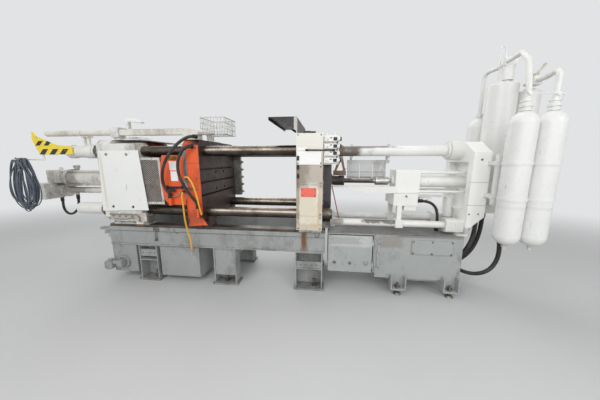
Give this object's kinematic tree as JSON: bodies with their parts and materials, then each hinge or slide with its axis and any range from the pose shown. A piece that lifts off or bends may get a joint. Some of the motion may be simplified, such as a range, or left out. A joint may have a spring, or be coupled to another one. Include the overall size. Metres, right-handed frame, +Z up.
{
  "type": "cold chamber die casting machine",
  "caption": "Horizontal cold chamber die casting machine with a toggle clamp, an open die space on four tie bars, a shot cylinder and upright gas bottles.",
  "frame": {"origin": "centre of the anchor hole pattern of the outer foot plates, on the floor", "axes": "+X from the clamp end to the shot end, +Y from the operator side to the far side, +Z up"},
  "size_m": [7.0006, 1.252, 2.9328],
  "materials": {
    "machine_grey": "worn mid grey machine paint",
    "way_steel": "oily hardened steel strips",
    "bolt_steel": "plain steel fasteners",
    "off_white": "off-white machine paint",
    "guard_cream": "stained cream sheet guard",
    "black_plastic": "black fittings",
    "hood_brown": "sooty brown sheet",
    "valve_steel": "plated valve blocks",
    "bar_steel": "dark oily ground bar",
    "bar_chrome": "hard chromed rod",
    "rod_white": "off-white painted rods and pipes",
    "panel_grey": "grey splash panels",
    "tool_steel": "heat-stained tool steel",
    "rusty_steel": "rusty steel sheet",
    "bottle_white": "off-white bottle paint",
    "hose_black": "black hydraulic hose",
    "guard_orange": "scratched orange machine paint",
    "link_orange": "greasy orange cast links",
    "hazard_yellow": "yellow and black striped sheet",
    "mesh_white": "white wire and frame",
    "cable_grey": "grey cable",
    "bar_white": "off-white painted bar",
    "line_yellow": "yellow air line"
  },
  "bodies": {
    "machine_frame": {"base_beams": "machine_grey", "base_legs": "machine_grey", "slide_ways": "way_steel", "oil_tank": "machine_grey", "levelling_feet": "bolt_steel", "shot_base": "machine_grey", "fixed_platen": "off_white", "platen_guard": "guard_cream", "guard_fittings": "black_plastic", "die_hood": "hood_brown", "valve_manifold": "off_white", "tie_bars": "bar_steel", "shot_frame_rods": "rod_white", "shot_end_frame": "off_white", "shot_cylinder_head": "off_white", "shot_cylinder_barrel": "off_white", "shot_valve_block": "off_white", "pilot_filter": "off_white", "support_beam": "off_white", "splash_panels": "panel_grey", "shot_sleeve": "tool_steel", "pour_chute": "rusty_steel", "gas_bottles": "bottle_white", "bottle_rack": "bottle_white", "accumulators": "bottle_white", "accumulator_manifold": "off_white", "gas_pipes": "rod_white", "pressure_hoses": "hose_black"},
    "rear_unit": {"rear_platen": "off_white", "crosshead_guides": "bar_steel", "rear_covers": "guard_cream", "rear_nuts": "bolt_steel", "tail_covers": "rod_white", "hazard_guard": "hazard_yellow", "closing_cylinder": "off_white", "closing_valves": "rod_white", "mesh_guard": "mesh_white", "cable_coil": "cable_grey", "hose_left_loop": "hose_black"},
    "moving_unit": {"moving_platen": "guard_orange", "side_guard": "guard_orange", "safety_bar": "bar_white", "far_manifold": "valve_steel", "parts_basket": "mesh_white", "hose_a": "hose_black", "hose_b": "hose_black", "air_line_short": "line_yellow", "air_line_long": "line_yellow"},
    "crosshead_body": {"crosshead": "link_orange"},
    "upper_rear_link": {"rear_link_upper": "link_orange"},
    "lower_rear_link": {"rear_link_lower": "link_orange"},
    "upper_front_link": {"front_link_upper": "link_orange"},
    "lower_front_link": {"front_link_lower": "link_orange"},
    "upper_cross_links": {"cross_links_upper": "link_orange"},
    "lower_cross_links": {"cross_links_lower": "link_orange"},
    "ejector": {"ejector_plate": "tool_steel"},
    "shot_plunger": {"plunger": "tool_steel", "piston_rod": "bar_chrome"},
    "lever": {"valve_lever": "rod_white"},
    "bay_door": {"shot_base_door": "machine_grey"}
  },
  "joints": [
    {"name": "die_height", "type": "slide", "parent": "machine_frame", "child": "rear_unit", "axis": [1, 0, 0], "range_m": [-0.03, 0.2]},
    {"name": "clamp", "type": "slide", "parent": "rear_unit", "child": "moving_unit", "axis": [1, 0, 0], "range_m": [0, 0.4]},
    {"name": "crosshead_slide", "type": "slide", "parent": "rear_unit", "child": "crosshead_body", "axis": [1, 0, 0], "range_m": [0, 0.22622]},
    {"name": "upper_rear_pivot", "type": "hinge", "parent": "rear_unit", "child": "upper_rear_link", "pos_m": [-1.17464, 0, 1.81], "axis": [0, -1, 0], "range_deg": [0, 65.72]},
    {"name": "lower_rear_pivot", "type": "hinge", "parent": "rear_unit", "child": "lower_rear_link", "pos_m": [-1.17464, 0, 0.93], "axis": [0, 1, 0], "range_deg": [0, 65.72]},
    {"name": "upper_front_pivot", "type": "hinge", "parent": "moving_unit", "child": "upper_front_link", "pos_m": [-0.49, 0, 1.81], "axis": [0, 1, 0], "range_deg": [0, 8.65]},
    {"name": "lower_front_pivot", "type": "hinge", "parent": "moving_unit", "child": "lower_front_link", "pos_m": [-0.49, 0, 0.93], "axis": [0, -1, 0], "range_deg": [0, 8.65]},
    {"name": "upper_cross_pivot", "type": "hinge", "parent": "crosshead_body", "child": "upper_cross_links", "pos_m": [-1.39717, 0, 1.48], "axis": [0, -1, 0], "range_deg": [0, 3.35]},
    {"name": "lower_cross_pivot", "type": "hinge", "parent": "crosshead_body", "child": "lower_cross_links", "pos_m": [-1.39717, 0, 1.26], "axis": [0, 1, 0], "range_deg": [0, 3.35]},
    {"name": "ejector_slide", "type": "slide", "parent": "moving_unit", "child": "ejector", "axis": [1, 0, 0], "range_m": [0, 0.1]},
    {"name": "shot_stroke", "type": "slide", "parent": "machine_frame", "child": "shot_plunger", "axis": [-1, 0, 0], "range_m": [0, 0.39]},
    {"name": "lever_turn", "type": "hinge", "parent": "machine_frame", "child": "lever", "pos_m": [3.555, -0.19, 2.55], "axis": [0, 0, 1], "range_deg": [0, 90]},
    {"name": "bay_door_hinge", "type": "hinge", "parent": "machine_frame", "child": "bay_door", "pos_m": [1.919, -0.372, 0.49], "axis": [0, 0, 1], "range_deg": [0, 100]}
  ],
  "couplings": [
    {"joint": "crosshead_slide", "follows": "clamp", "ratio": 0.56529},
    {"joint": "upper_rear_pivot", "follows": "clamp", "rad_per_m": 2.8668},
    {"joint": "lower_rear_pivot", "follows": "clamp", "rad_per_m": 2.8668},
    {"joint": "upper_front_pivot", "follows": "clamp", "rad_per_m": 0.37706},
    {"joint": "lower_front_pivot", "follows": "clamp", "rad_per_m": 0.37706},
    {"joint": "upper_cross_pivot", "follows": "clamp", "rad_per_m": 0.14566},
    {"joint": "lower_cross_pivot", "follows": "clamp", "rad_per_m": 0.14566}
  ]
}
